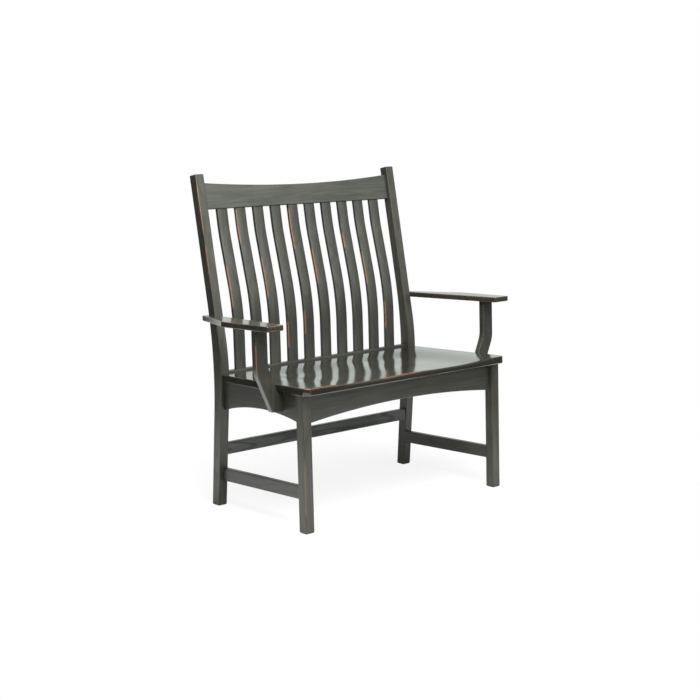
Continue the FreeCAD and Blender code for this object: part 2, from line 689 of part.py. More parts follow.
def block_blank(rear):
    x, y, way = block_corner(rear)
    corners = [(x, y, 0), (x - BLOCK_LEG, y, 0), (x, y + way * BLOCK_LEG, 0)]
    return prism(outline(corners, level_plane(SEAT_BOTTOM - BLOCK_HEIGHT)), vec(0, 0, BLOCK_HEIGHT))


def block_screws(rear):
    """The screws of a right-hand block: one into each rail, and one up into the seat."""
    x, y, way = block_corner(rear)
    z = SEAT_BOTTOM - BLOCK_HEIGHT / 2
    stand = BLOCK_SCREW_LENGTH - BLOCK_SCREW_BITE
    into_side = ((x - stand, y + way * BLOCK_SCREW_OFFSET, z), (1, 0, 0), BLOCK_SCREW_LENGTH)
    into_cross = ((x - BLOCK_SCREW_OFFSET, y + way * stand, z), (0, -way, 0), BLOCK_SCREW_LENGTH)
    return [into_side, into_cross]


def seat_screw(rear):
    x, y, way = block_corner(rear)
    head = SEAT_BOTTOM - (SEAT_SCREW_LENGTH - SEAT_SCREW_BITE)
    return (x - SEAT_SCREW_OFFSET, y + way * SEAT_SCREW_OFFSET, head), (0, 0, 1), SEAT_SCREW_LENGTH


def cut_all(shape, tools):
    for tool in tools:
        shape = shape.cut(tool)
    return shape


def both_sides(shapes):
    return list(shapes) + [mirrored(shape) for shape in shapes]


def build():
    """Every piece of the bench in its square frame, by node name."""
    nodes = {}
    post = post_blank()
    leg = front_leg_blank()
    crest = Crest()
    path = SlatPath(crest)
    front_tenon, side_tenon = mitred_tenon(0.0)
    front_mortise, side_mortise = mitred_tenon(JOINT_FIT)
    apron_low = SEAT_BOTTOM - APRON_END_HEIGHT
    post_face = face_y(post, apron_low)
    stretcher_low = SIDE_STRETCHER_TOP - SIDE_STRETCHER_HEIGHT
    stretcher_face = face_y(post, stretcher_low)
    rear_low = REAR_STRETCHER_TOP - REAR_STRETCHER_HEIGHT
    rear_y = face_y(post, (rear_low + REAR_STRETCHER_TOP) / 2) + REAR_STRETCHER_SETBACK
    rear_middle = rear_y + RAIL_THICKNESS / 2
    rail_low = BACK_RAIL_TOP - BACK_RAIL_HEIGHT
    rail_middle = BACK_RAIL_Y + BACK_RAIL_THICKNESS / 2
    blocks = {"front": False, "rear": True}

    rail_screws = [item for rear in blocks.values() for item in block_screws(rear)]
    up_screws = [seat_screw(rear) for rear in blocks.values()]
    side_screws = support_screws()
    tail_screw = arm_screw(post)
    arm_hole = screw_hole(*tail_screw).fuse(arm_plug(tail_screw, ARM_SCREW_RECESS, JOINT_FIT))

    leg_solid = cut_all(leg, [
        front_mortise, side_mortise, tenon_into_leg(stretcher_low, SIDE_STRETCHER_TOP, JOINT_FIT)])
    post_solid = cut_all(post, [
        tenon_into_post(post_face, APRON_TENON_LENGTH, apron_low, SEAT_BOTTOM, JOINT_FIT),
        tenon_into_post(stretcher_face, TENON_LENGTH, stretcher_low, SIDE_STRETCHER_TOP, JOINT_FIT),
        tenon_into_side(rear_middle, rear_low, REAR_STRETCHER_TOP, JOINT_FIT),
        tenon_into_side(rail_middle, rail_low, BACK_RAIL_TOP, JOINT_FIT),
        crest.tenon(JOINT_FIT),
        arm_hole,
    ])

    side = arched_board(LEG_SIZE, post_face, SEAT_BOTTOM, side_plane(INNER), vec(RAIL_THICKNESS, 0, 0))
    post_tenon = tenon_into_post(post_face, APRON_TENON_LENGTH, apron_low, SEAT_BOTTOM, 0.0)
    side = side.cut(post).fuse([side_tenon, post_tenon]).removeSplitter()
    side_holes = [screw_hole(*item) for item in rail_screws + side_screws]
    nodes["side_apron_right"] = cut_all(side, side_holes)

    front = arched_board(-INNER, INNER, SEAT_BOTTOM, front_plane(FRONT_APRON_INSET),
                         vec(0, RAIL_THICKNESS, 0))
    front = front.fuse([front_tenon, mirrored(front_tenon)]).removeSplitter()
    cross_holes = [screw_hole(*item) for item in rail_screws]
    nodes["front_apron"] = cut_all(front, both_sides(cross_holes))

    rail = box(-INNER, INNER, BACK_RAIL_Y, BACK_RAIL_Y + BACK_RAIL_THICKNESS, rail_low, BACK_RAIL_TOP)
    rail = eased(rail, long_edges(rail, "X", INNER))
    rail_tenon = tenon_into_side(rail_middle, rail_low, BACK_RAIL_TOP, 0.0, root=TENON_LENGTH)
    rail = rail.fuse([rail_tenon, mirrored(rail_tenon)]).removeSplitter()
    crest_tenon = crest.tenon(0.0, TENON_LENGTH)
    crest_solid = crest.board().fuse([crest_tenon, mirrored(crest_tenon)]).removeSplitter()
    slat_slots = [path.solid(x, JOINT_FIT) for x in slat_places()]
    nodes["back_rail"] = cut_all(rail, slat_slots + both_sides(cross_holes))
    nodes["crest_rail"] = cut_all(crest_solid, slat_slots)
    for number, x in enumerate(slat_places(), 1):
        nodes[f"slat_{number:02d}"] = path.solid(x)

    stretcher = box(INNER, INNER + RAIL_THICKNESS, LEG_SIZE, stretcher_face + TINY,
                    stretcher_low, SIDE_STRETCHER_TOP)
    stretcher = eased(stretcher, long_edges(stretcher, "Y", LEG_SIZE)).cut(post)
    stretcher = stretcher.fuse([
        tenon_into_leg(stretcher_low, SIDE_STRETCHER_TOP, 0.0, root=TENON_LENGTH),
        tenon_into_post(stretcher_face, TENON_LENGTH, stretcher_low, SIDE_STRETCHER_TOP, 0.0)])
    nodes["side_stretcher_right"] = stretcher.removeSplitter()
    cross = box(-INNER, INNER, rear_y, rear_y + RAIL_THICKNESS, rear_low, REAR_STRETCHER_TOP)
    cross = eased(cross, long_edges(cross, "X", INNER))
    cross_tenon = tenon_into_side(rear_middle, rear_low, REAR_STRETCHER_TOP, 0.0, root=TENON_LENGTH)
    nodes["rear_stretcher"] = cross.fuse([cross_tenon, mirrored(cross_tenon)]).removeSplitter()

    seat_holes = both_sides([screw_hole(*item) for item in up_screws])
    for number, board in enumerate(seat_boards(post), 1):
        nodes[f"seat_board_{number}"] = cut_all(board, seat_holes)

    dowel_holes = [dowel(x, y, JOINT_FIT) for x, y in dowel_places()]
    nodes["arm_right"] = cut_all(arm_blank(post), dowel_holes + [arm_hole])
    heel_holes = [screw_hole(*item) for item in side_screws]
    nodes["arm_support_right"] = cut_all(support_solid(), dowel_holes + heel_holes)
    nodes["front_leg_right"] = leg_solid
    nodes["rear_post_right"] = post_solid
    for name, rear in blocks.items():
        rail_holes = [screw_hole(*item, recess=BLOCK_LEG) for item in block_screws(rear)]
        up_hole = screw_hole(*seat_screw(rear), recess=BLOCK_HEIGHT)
        nodes[f"corner_block_{name}_right"] = cut_all(block_blank(rear), rail_holes + [up_hole])

    for name in [name for name in nodes if name.endswith("_right")]:
        nodes[name.replace("_right", "_left")] = mirrored(nodes[name])

    plug = arm_plug(tail_screw, ARM_SCREW_RECESS - ARM_PLUG_GAP)
    nodes["block_screws"] = Part.makeCompound(both_sides([screw(*item) for item in rail_screws]))
    nodes["seat_screws"] = Part.makeCompound(both_sides([screw(*item) for item in up_screws]))
    nodes["support_screws"] = Part.makeCompound(both_sides([screw(*item) for item in side_screws]))
    nodes["arm_screws"] = Part.makeCompound(both_sides([screw(*tail_screw)]))
    nodes["arm_screw_plugs"] = Part.makeCompound(both_sides([plug]))
    nodes["arm_dowels"] = Part.makeCompound(both_sides([dowel(x, y) for x, y in dowel_places()]))
    return nodes


def stand_up(nodes):
    """Pitch the frame back onto its feet and bring the middle of its footprint box to the origin."""
    tip = FreeCAD.Placement(vec(0, 0, 0), FreeCAD.Rotation(vec(1, 0, 0), -FRAME_PITCH))
    for name, shape in nodes.items():
        nodes[name] = placed(shape, tip)
    spans = [shape.optimalBoundingBox() for shape in nodes.values()]
    shift = -(min(b.YMin for b in spans) + max(b.YMax for b in spans)) / 2
    for shape in nodes.values():
        shape.translate(vec(0, shift, 0))


def placed(shape, placement):
    moved = shape.copy()
    moved.Placement = placement.multiply(moved.Placement)
    return moved


def main():
    os.makedirs("parts", exist_ok=True)
    nodes = build()
    stand_up(nodes)
    for name, shape in nodes.items():
        for solid in shape.Solids:
            if not solid.isValid():
                raise ValueError(f"{name} holds a solid that isn't valid")
        shape.exportStep(f"parts/{name}.step")
        print(f"{name}: {len(shape.Solids)} solid(s), {sum(s.Volume for s in shape.Solids) / 1000:.1f} cm3")


main()
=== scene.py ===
import json
import math
import bmesh
import bpy
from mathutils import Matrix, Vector

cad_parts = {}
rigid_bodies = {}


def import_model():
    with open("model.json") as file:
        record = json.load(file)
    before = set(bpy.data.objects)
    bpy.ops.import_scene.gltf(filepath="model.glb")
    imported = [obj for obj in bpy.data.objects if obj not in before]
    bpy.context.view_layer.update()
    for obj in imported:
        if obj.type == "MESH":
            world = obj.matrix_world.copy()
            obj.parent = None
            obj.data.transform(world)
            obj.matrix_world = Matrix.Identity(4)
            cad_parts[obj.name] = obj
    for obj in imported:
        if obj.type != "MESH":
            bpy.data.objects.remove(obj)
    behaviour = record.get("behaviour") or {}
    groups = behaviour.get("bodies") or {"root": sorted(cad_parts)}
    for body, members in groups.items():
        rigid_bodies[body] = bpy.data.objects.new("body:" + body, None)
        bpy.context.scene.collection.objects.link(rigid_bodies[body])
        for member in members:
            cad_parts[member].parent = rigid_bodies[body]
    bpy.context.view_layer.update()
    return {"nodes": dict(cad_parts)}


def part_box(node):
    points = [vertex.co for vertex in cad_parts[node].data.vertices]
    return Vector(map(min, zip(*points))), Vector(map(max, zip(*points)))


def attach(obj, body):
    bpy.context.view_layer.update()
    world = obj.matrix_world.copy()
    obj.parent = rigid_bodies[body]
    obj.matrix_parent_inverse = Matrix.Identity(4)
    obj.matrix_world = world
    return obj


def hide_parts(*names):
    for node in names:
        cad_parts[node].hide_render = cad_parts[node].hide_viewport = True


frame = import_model()
scene = bpy.context.scene

square = {  # the bench's own square frame (x, v back, w up), before the whole was pitched back
    "pitch": math.radians(2.18),
    "shift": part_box("front_leg_left")[0].y - 0.00013,
    "halfWidth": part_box("front_leg_right")[1].x,
    "inner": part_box("front_leg_right")[0].x,
}


def toRow(x, v, w):
    c = math.cos(square["pitch"])
    s = math.sin(square["pitch"])
    return Vector((x, v * c + w * s + square["shift"], w * c - v * s))


def addObject(name, data):
    made = bpy.data.objects.new(name, data)
    scene.collection.objects.link(made)
    return made


def addPiece(name, mesh, slot, sharp, *replaced):
    mesh.name = name
    mesh.shade_smooth()
    mesh.set_sharp_from_angle(angle=sharp)
    piece = addObject(name, mesh)
    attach(piece, "root")
    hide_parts(*replaced)


class Wire:  # a socket, with shader maths written as Python expressions
    def __init__(self, net, socket):
        self.net = net
        self.socket = socket

    def maths(self, operation, *values):
        return self.net.node("ShaderNodeMath", {"operation": operation}, *values)

    def __add__(self, other):
        return self.maths("ADD", self, other)

    def __radd__(self, other):
        return self.maths("ADD", other, self)

    def __sub__(self, other):
        return self.maths("SUBTRACT", self, other)

    def __rsub__(self, other):
        return self.maths("SUBTRACT", other, self)

    def __mul__(self, other):
        return self.maths("MULTIPLY", self, other)

    def __rmul__(self, other):
        return self.maths("MULTIPLY", other, self)

    def __truediv__(self, other):
        return self.maths("DIVIDE", self, other)

    def __abs__(self):
        return self.maths("ABSOLUTE", self)

    def most(self, other):
        return self.maths("MAXIMUM", self, other)

    def least(self, other):
        return self.maths("MINIMUM", self, other)

    def floor(self):
        return self.maths("FLOOR", self)

    def fold(self, reach):
        return self.maths("PINGPONG", self, reach)

    def root(self):
        return self.maths("SQRT", self)

    def step(self, low, high):
        return self.net.node("ShaderNodeMapRange", {"interpolation_type": "SMOOTHSTEP"},
                             Value=self, **{"From Min": low, "From Max": high})


class Net:
    def __init__(self, holder, exit="ShaderNodeOutputMaterial"):
        self.holder = holder
        holder.use_nodes = True
        self.tree = holder.node_tree
        self.tree.nodes.clear()
        self.out = self.tree.nodes.new(exit)

    def feed(self, socket, value):
        if isinstance(value, Wire):
            self.tree.links.new(value.socket, socket)
        else:
            socket.default_value = value

    def node(self, kind, settings=None, *values, output=0, **named):
        made = self.tree.nodes.new(kind)
        for key, value in (settings or {}).items():
            setattr(made, key, value)
        for place, value in [*enumerate(values), *named.items()]:
            self.feed(made.inputs[place], value)
        return Wire(self, made.outputs[output])

    def vector(self, operation, *values, output=0):
        return self.node("ShaderNodeVectorMath", {"operation": operation}, *values, output=output)

    def split(self, vector):
        first = self.node("ShaderNodeSeparateXYZ", {}, vector)
        return [Wire(self, socket) for socket in first.socket.node.outputs]

    def mixColour(self, factor, a, b):
        mixed = self.node("ShaderNodeMix", {"data_type": "RGBA"}, factor, output=2)
        for place, colour in ((6, a), (7, b)):
            value = colour if isinstance(colour, Wire) else (*colour, 1)
            self.feed(mixed.socket.node.inputs[place], value)
        return mixed

    def finish(self, shader):
        self.tree.links.new(shader.socket, self.out.inputs[0])
        return self.holder


paint = {
    "dark": (0.024, 0.024, 0.019),
    "light": (0.038, 0.037, 0.031),
    "pore": (0.014, 0.014, 0.011),
    "wood": (0.31, 0.135, 0.05),
    "woodDark": (0.16, 0.07, 0.028),
    # the two keys below make faces turned downward paler: painted light from the floor below
    "paintedUnderLightTint": (1.0, 1.0, 0.93),
    "paintedUnderLightTurn": (0.2, 0.4),
    "cloudScale": 5.0,
    "cloudDetail": 3.0,
    "cloudShare": 0.4,
    "shadeRange": (0.38, 0.62),
    "lineRange": (0.55, 0.98),
    "lineDark": 0.35,
    "poreRange": (0.55, 0.75),
    "poreDark": 0.5,
    "rings": 9.5,
    "ringsFigured": 1.5,
    "boardShift": (3.7, 1.3),
    "edgeReach": 0.0055,
    "edgeRound": 0.0025,
    "edgeGain": 12.0,
    "patchRange": (0.52, 0.70),
    "patchWear": 0.42,
    "edgeWear": 1.4,
    "speckleWear": 1.1,
    "wearRange": (0.35, 1.15),
    "wearEdge": (0.02, 0.5),
    "spotFade": (0.55, 1.0),
    "bareWorn": 0.7,
    "bareRange": (0.35, 0.65),
    "roughness": 0.29,
    "roughGloss": -0.15,
    "roughStreak": 0.06,
    "roughLine": 0.05,
    "roughWear": 0.2,
    "highLine": -0.25,
    "highPore": -0.35,
    "highStreak": 0.2,
    "highWear": -0.25,
    "bump": 0.5,
    "bumpGloss": -0.42,
    "bumpDistance": 0.0004,
    "index": 1.5,
    "coat": 0.45,
    "coatRoughness": 0.12,
}

grains = {  # scale along and across the grain, detail, roughness
    "figure": (1.3, 15.0, 1.0, 0.5),
    "pore": (22.0, 700.0, 2.0, 0.6),
    "streak": (4.0, 90.0, 3.0, 0.5),
    "patch": (3.0, 9.0, 2.0, 0.5),
    "speckle": (60.0, 420.0, 2.0, 0.65),
}


def objectCoords(net):
    return net.node("ShaderNodeTexCoord", output=3)


def squareCoords(net):
    pitch = square["pitch"]
    place = (0, -square["shift"] * math.cos(pitch), -square["shift"] * math.sin(pitch))
    return net.node("ShaderNodeMapping", {}, objectCoords(net), place, (pitch, 0, 0))


def noise(net, coords, scale, detail, roughness=0.5):
    return net.node("ShaderNodeTexNoise", {}, coords, Scale=scale, Detail=detail, Roughness=roughness)


def grainNoise(net, coords, grain, name):
    along, across, detail, roughness = grains[name]
    scale = tuple(along if axis == grain else across for axis in "xyz")
    return noise(net, net.vector("MULTIPLY", coords, scale), 1.0, detail, roughness)


def spot(net, coords, centre, reach, strength=1.0):
    scaled = net.vector("DIVIDE", net.vector("SUBTRACT", coords, centre), reach)
    return (1 - net.vector("LENGTH", scaled, output=1).step(*paint["spotFade"])) * strength


def arris(net, reach):
    wide = net.node("ShaderNodeBevel", {"samples": 8}, Radius=reach)
    normal = net.node("ShaderNodeNewGeometry", output=1)
    facing = net.vector("DOT_PRODUCT", wide, normal, output=1)
    return ((1 - facing) * paint["edgeGain"]).least(1.0)


def boardCoords(net, coords, boards):
    front, depth = boards
    number = ((net.split(coords)[1] + front) / depth).floor()
    across, up = paint["boardShift"]
    shift = net.node("ShaderNodeCombineXYZ", {}, number * across, 0.0, number * up)
    return net.vector("ADD", coords, shift)


def oakPaint(name, grain, gloss=0.0, tone=(1.0, 1.0, 1.0), spots=(), boards=None,
             wear=None, reach=1.0, figured=1.0, paintedUnderLight=0.0):
    net = Net(bpy.data.materials.new(name))
    coords = squareCoords(net)
    if boards:
        coords = boardCoords(net, coords, boards)
    figure, pore, streak, patch, speckle = [grainNoise(net, coords, grain, key) for key in grains]
    rings = (figure * (paint["rings"] + paint["ringsFigured"] * figured)).fold(0.5) * 2
    line = rings.step(*paint["lineRange"])
    pores = pore.step(*paint["poreRange"])
    cloud = noise(net, coords, paint["cloudScale"], paint["cloudDetail"])
    edge = arris(net, paint["edgeReach"] * reach)
    rounded = net.node("ShaderNodeBevel", {"samples": 6}, Radius=paint["edgeRound"])

    worn = patch.step(*paint["patchRange"]) * paint["patchWear"]
    for place in spots:
        worn = worn.most(spot(net, coords, *place))
    if wear:
        worn = worn.most(wear(net, coords))
    mask = (edge * worn * paint["edgeWear"] + (speckle - 0.5) * paint["speckleWear"]).step(*paint["wearRange"])
    mask = mask * edge.step(*paint["wearEdge"])

    shade = (cloud * paint["cloudShare"] + streak * (1 - paint["cloudShare"])).step(*paint["shadeRange"])
    dark, light = [tuple(c * t for c, t in zip(paint[key], tone)) for key in ("dark", "light")]
    colour = net.mixColour(shade, dark, light)
    lined = (line * paint["lineDark"] * figured + pores * paint["poreDark"]).least(1.0)
    colour = net.mixColour(lined, colour, paint["pore"])
    # faces turned downward are mixed towards a paler grey: painted light from below, not a change in the paint
    if paintedUnderLight:
        up = net.split(net.node("ShaderNodeNewGeometry", output=1))[2]
        underLightColour = tuple(paintedUnderLight * t for t in paint["paintedUnderLightTint"])
        colour = net.mixColour((-1 * up).step(*paint["paintedUnderLightTurn"]), colour, underLightColour)
    shown = worn * paint["bareWorn"] + streak.step(*paint["bareRange"]) * (1 - paint["bareWorn"])
    colour = net.mixColour(mask, colour, net.mixColour(shown, paint["woodDark"], paint["wood"]))

    rough = paint["roughness"] + gloss * paint["roughGloss"] + streak * paint["roughStreak"]
    rough = rough + line * paint["roughLine"] * figured * (1 - gloss) + mask * paint["roughWear"]
    height = line * paint["highLine"] * figured + pores * paint["highPore"]
    height = height + streak * paint["highStreak"] + mask * paint["highWear"]
    bump = net.node("ShaderNodeBump", {}, Strength=paint["bump"] + paint["bumpGloss"] * gloss,
                    Distance=paint["bumpDistance"], Height=height, Normal=rounded)
    return net.finish(net.node("ShaderNodeBsdfPrincipled", {}, **{
        "Base Color": colour, "Roughness": rough, "Normal": bump, "IOR": paint["index"],
        "Coat Weight": paint["coat"] * gloss, "Coat Roughness": paint["coatRoughness"]}))


plain = {
    "scale": 300.0,
    "detail": 3.0,
    "darkest": 0.8,
    "roughening": 0.1,
}


def plainMaterial(name, colour, roughness, metallic=0.0):
    net = Net(bpy.data.materials.new(name))
    grain = noise(net, objectCoords(net), plain["scale"], plain["detail"])
    tone = net.mixColour(grain, tuple(c * plain["darkest"] for c in colour), colour)
    return net.finish(net.node("ShaderNodeBsdfPrincipled", {}, **{
        "Base Color": tone, "Roughness": roughness + grain * plain["roughening"], "Metallic": metallic}))


print("materials")
half = square["halfWidth"]
uprightOak = oakPaint("uprightOak", "z", tone=(1.1, 1.05, 1.0), figured=1.5, spots=[
    ((-half, 0.0, 0.15), (0.02, 0.02, 0.12)),
    ((-half, 0.0, 0.37), (0.02, 0.02, 0.09), 0.42),
    ((square["inner"], 0.0, 0.30), (0.02, 0.02, 0.12), 0.5),
    ((-half, 0.51, 1.03), (0.02, 0.08, 0.11)),
    ((-half, 0.48, 0.86), (0.02, 0.08, 0.07), 0.8),
])
crossOak = oakPaint("crossOak", "x")
# a lighter, cooler copy of the black paint: painted light from the floor on the rear stretcher
stretcherOakLit = oakPaint("stretcherOakLit", "x", tone=(1.5, 1.65, 1.75), figured=2.6)
# a lighter, cooler copy of the black paint: painted sheen standing in for the crest's reflection of the front
# light
crestOakSheen = oakPaint("crestOakSheen", "x", tone=(1.15, 1.2, 1.2))
sideOak = oakPaint("sideOak", "y")
# the support's downward faces are painted paler: painted light from below
supportOak = oakPaint("supportOak", "z", paintedUnderLight=0.11, spots=[
    ((-0.549, 0.1125, 0.565), (0.02, 0.03, 0.07)),
])
armOak = oakPaint("armOak", "y", gloss=0.8, tone=(0.9, 0.82, 0.75), reach=1.6, spots=[
    ((-0.51, 0.20, 0.66), (0.08, 0.40, 0.05), 0.5),
    ((0.51, 0.20, 0.66), (0.08, 0.40, 0.05), 0.45),
])
blockWood = plainMaterial("blockWood", (0.07, 0.06, 0.045), 0.6)
dowelWood = plainMaterial("dowelWood", (0.55, 0.38, 0.22), 0.6)
screwSteel = plainMaterial("screwSteel", (0.6, 0.59, 0.57), 0.35, 1.0)

finishes = {  # by the start of a node's name; the screws, and the nodes replaced below, take screwSteel
    "front_leg": uprightOak, "rear_post": uprightOak, "arm_screw_plugs": uprightOak,
    "front_apron": crossOak, "back_rail": crossOak,
    "rear_stretcher": stretcherOakLit, "crest_rail": crestOakSheen,
    "side_apron": sideOak, "side_stretcher": sideOak,
    "arm_support": supportOak, "arm_left": armOak, "arm_right": armOak,
    "corner_block": blockWood, "arm_dowels": dowelWood,
}
for name, node in frame["nodes"].items():
    found = [material for start, material in finishes.items() if name.startswith(start)]
    node.data.materials[0] = found[0] if found else screwSteel


print("slats")
slat = {
    "count": 10,
    "endGap": 0.049,
    "width": 0.043,
    "thickness": 0.0115,
    "easing": 0.0014,
    "easingCuts": 3,
    "footV": 0.454,
    "footW": 0.484,
    "straightFoot": 0.112,
    "straightMiddle": 0.146,
    "straightHead": 0.050,
    "lowerShare": 0.565,
    "headLean": math.radians(8.0),
    "headV": 0.52801,
    "headW": 1.02929,
    "tenon": 0.0145,
    "step": 0.012,
    "sharp": math.radians(50),
    "worn": [  # number from the left, lower and upper end of the worn arris
        (0, 0.69, 0.84), (1, 0.90, 1.03), (2, 0.71, 0.86), (3, 0.53, 0.63), (4, 0.87, 1.02),
        (4, 0.57, 0.66), (5, 0.74, 0.88), (7, 0.86, 0.92), (8, 0.72, 0.85), (9, 0.55, 0.66)],
    "wornSide": (-0.008, 0.004),
    "wornNumber": (0.2, 0.4),
    "wornFade": (0.35, 0.6),
}
slat["pitch"] = (2 * (square["inner"] - slat["endGap"]) - slat["width"]) / (slat["count"] - 1)
slat["first"] = -(slat["count"] - 1) / 2 * slat["pitch"]


def arc(centre, radius, start, end, side):
    turns = math.ceil(abs(end - start) * radius / slat["step"])
    angles = [start + (end - start) * i / turns for i in range(turns + 1)]
    return [centre + side * radius * Vector((math.cos(a), -math.sin(a))) for a in angles]


def slatLine():  # two arcs whose radii are solved from the ends and the straight middle between them
    sinHead = math.sin(slat["headLean"])
    cosHead = math.cos(slat["headLean"])
    head = Vector((sinHead, cosHead))
    top = Vector((slat["headV"], slat["headW"]))
    high = top - slat["straightHead"] * head
    low = Vector((slat["footV"], slat["footW"] + slat["straightFoot"]))
    rise = high - low
    share = slat["lowerShare"]
    cosine = share + (1 - share) * cosHead
    sine = (1 - share) * sinHead
    a = 1 - cosine ** 2 - sine ** 2
    b = 2 * (rise.x * cosine - rise.y * sine)
    c = rise.length_squared - slat["straightMiddle"] ** 2
    together = 2 * c / (b + math.sqrt(b ** 2 + 4 * a * c))
    lowRadius = share * together
    highRadius = together - lowRadius
    lowCentre = low + Vector((lowRadius, 0))
    highCentre = high + Vector((-highRadius * cosHead, highRadius * sinHead))
    apart = highCentre - lowCentre
    lean = math.atan2(apart.x, apart.y) + math.atan2(together, slat["straightMiddle"])
    foot = Vector((slat["footV"], slat["footW"] - slat["tenon"]))
    return [foot, *arc(lowCentre, lowRadius, 0, lean, -1),
            *arc(highCentre, highRadius, lean, slat["headLean"], 1), top + slat["tenon"] * head]


class Tree:
    def __init__(self, name):
        self.tree = bpy.data.node_groups.new(name, "GeometryNodeTree")
        for way in ("INPUT", "OUTPUT"):
            self.tree.interface.new_socket("Geometry", in_out=way, socket_type="NodeSocketGeometry")
        self.entry = self.tree.nodes.new("NodeGroupInput")
        self.exit = self.tree.nodes.new("NodeGroupOutput")
        self.ids = {}

    def size(self, name, kind="NodeSocketFloat"):
        made = self.tree.interface.new_socket(name, in_out="INPUT", socket_type=kind)
        self.ids[name] = made.identifier
        return self.entry.outputs[name]

    def node(self, kind, settings=None, **inputs):
        made = self.tree.nodes.new(kind)
        for key, value in (settings or {}).items():
            setattr(made, key, value)
        for place, value in inputs.items():
            socket = made.inputs[place.replace("_", " ")]
            if isinstance(value, bpy.types.NodeSocket):
                self.tree.links.new(value, socket)
            else:
                socket.default_value = value
        return made.outputs[0]

    def finish(self, geometry):
        self.tree.links.new(geometry, self.exit.inputs[0])
        return self


def slatTree(material):
    t = Tree("slatTree")
    width = t.size("Width")
    thickness = t.size("Thickness")
    easing = t.size("Easing")
    count = t.size("Count", "NodeSocketInt")
    pitch = t.size("Pitch")
    section = t.node("GeometryNodeCurvePrimitiveQuadrilateral", Width=width, Height=thickness)
    eased = t.node("GeometryNodeFilletCurve", {"mode": "POLY"},
                   Curve=section, Radius=easing, Count=slat["easingCuts"])
    solid = t.node("GeometryNodeCurveToMesh", Curve=t.entry.outputs[0], Profile_Curve=eased, Fill_Caps=True)
    spread = t.node("ShaderNodeCombineXYZ", X=pitch)
    row = t.node("GeometryNodeMeshLine", {"mode": "OFFSET"}, Count=count, Offset=spread)
    placed = t.node("GeometryNodeInstanceOnPoints", Points=row, Instance=solid)
    named = t.node("GeometryNodeStoreNamedAttribute", {"data_type": "FLOAT", "domain": "INSTANCE"},
                   Geometry=placed, Name="slatNumber", Value=t.node("GeometryNodeInputIndex"))
    real = t.node("GeometryNodeRealizeInstances", Geometry=named)
    return t.finish(t.node("GeometryNodeSetMaterial", Geometry=real, Material=material))


def slatWear(net, coords):
    number = net.node("ShaderNodeAttribute", {"attribute_name": "slatNumber"}, output=2)
    x, v, height = net.split(coords)
    leftSide = 1 - (x - (number * slat["pitch"] + slat["first"])).step(*slat["wornSide"])
    nearest, gone = slat["wornFade"]
    worn = None
    for index, low, high in slat["worn"]:
        here = 1 - abs(number - index).step(*slat["wornNumber"])
        span = 1 - abs(height - (low + high) / 2).step((high - low) * nearest, (high - low) * gone)
        worn = here * span if worn is None else worn.most(here * span)
    return worn * leftSide


def makeSlats():
    curve = bpy.data.curves.new("slatLine", "CURVE")
    curve.dimensions = "3D"
    spline = curve.splines.new("POLY")
    points = slatLine()
    spline.points.add(len(points) - 1)
    for point, (v, w) in zip(spline.points, points):
        point.co = (*toRow(slat["first"], v, w), 1)
    source = addObject("slatSource", curve)
    tree = slatTree(oakPaint("slatOak", "z", wear=slatWear, reach=1.7, figured=1.6))
    modifier = source.modifiers.new("slats", "NODES")
    modifier.node_group = tree.tree
    for key in ("width", "thickness", "easing", "count", "pitch"):
        modifier[tree.ids[key.capitalize()]] = slat[key]
    graph = bpy.context.evaluated_depsgraph_get()
    mesh = bpy.data.meshes.new_from_object(source.evaluated_get(graph), depsgraph=graph)
    bpy.data.objects.remove(source)
    replaced = [f"slat_{i:02d}" for i in range(1, slat["count"] + 1)]
    addPiece("slats", mesh, "slat_oak", slat["sharp"], *replaced)


makeSlats()


print("seat")
seat = {
    "top": 0.477,
    "thickness": 0.026,
    "frontOverhang": 0.025,
    "sideOverhang": 0.010,
    "postLap": 0.030,
    "rearV": 0.44199,
    "notchV": 0.4223,
    "notchGap": 0.0005,
    "cornerRadius": 0.025,
    "underChamfer": 0.003,
    "edgeRound": 0.0035,
    "boards": 4,
    "dishDepth": 0.0105,
    "dishFrontShare": 0.68,
    "dishEndMargin": 0.026,
    "dishEndSlope": 0.210,
    "dishDeepest": 0.250,
    "dishRearMargin": 0.018,
    "dishRidgeShare": 0.42,
    "dishRidgeWidth": 0.095,
    "rows": 26,
    "notchRows": 4,
    "columns": 150,
    "meshWidth": 0.93,
    "rim": (0.0, 0.0006, 0.0014, 0.0024, 0.0036),
    "rimClear": 0.012,
    "frontRows": (0.0006, 0.0014, 0.0024, 0.0036, 0.006, 0.009, 0.013, 0.018),
    "frontSkipped": 6,
    "sharp": math.radians(40),
    "weld": 1e-6,
}
seat["depth"] = seat["rearV"] + seat["frontOverhang"]
seat["boardDepth"] = seat["depth"] / seat["boards"]
seatOak = oakPaint("seatOak", "x", gloss=1.0, tone=(0.45, 0.40, 0.33), reach=2.4,
                   boards=(seat["frontOverhang"], seat["boardDepth"]), spots=[
                       ((-0.39, -0.025, 0.470), (0.09, 0.012, 0.022), 0.9),
                       ((-0.05, -0.025, 0.472), (0.13, 0.012, 0.012), 0.9),
                       ((-0.24, -0.025, 0.474), (0.10, 0.010, 0.008), 0.6),
                   ])


def smoothStep(t):
    t = min(max(t, 0.0), 1.0)
    return t * t * t * (t * (6 * t - 15) + 10)


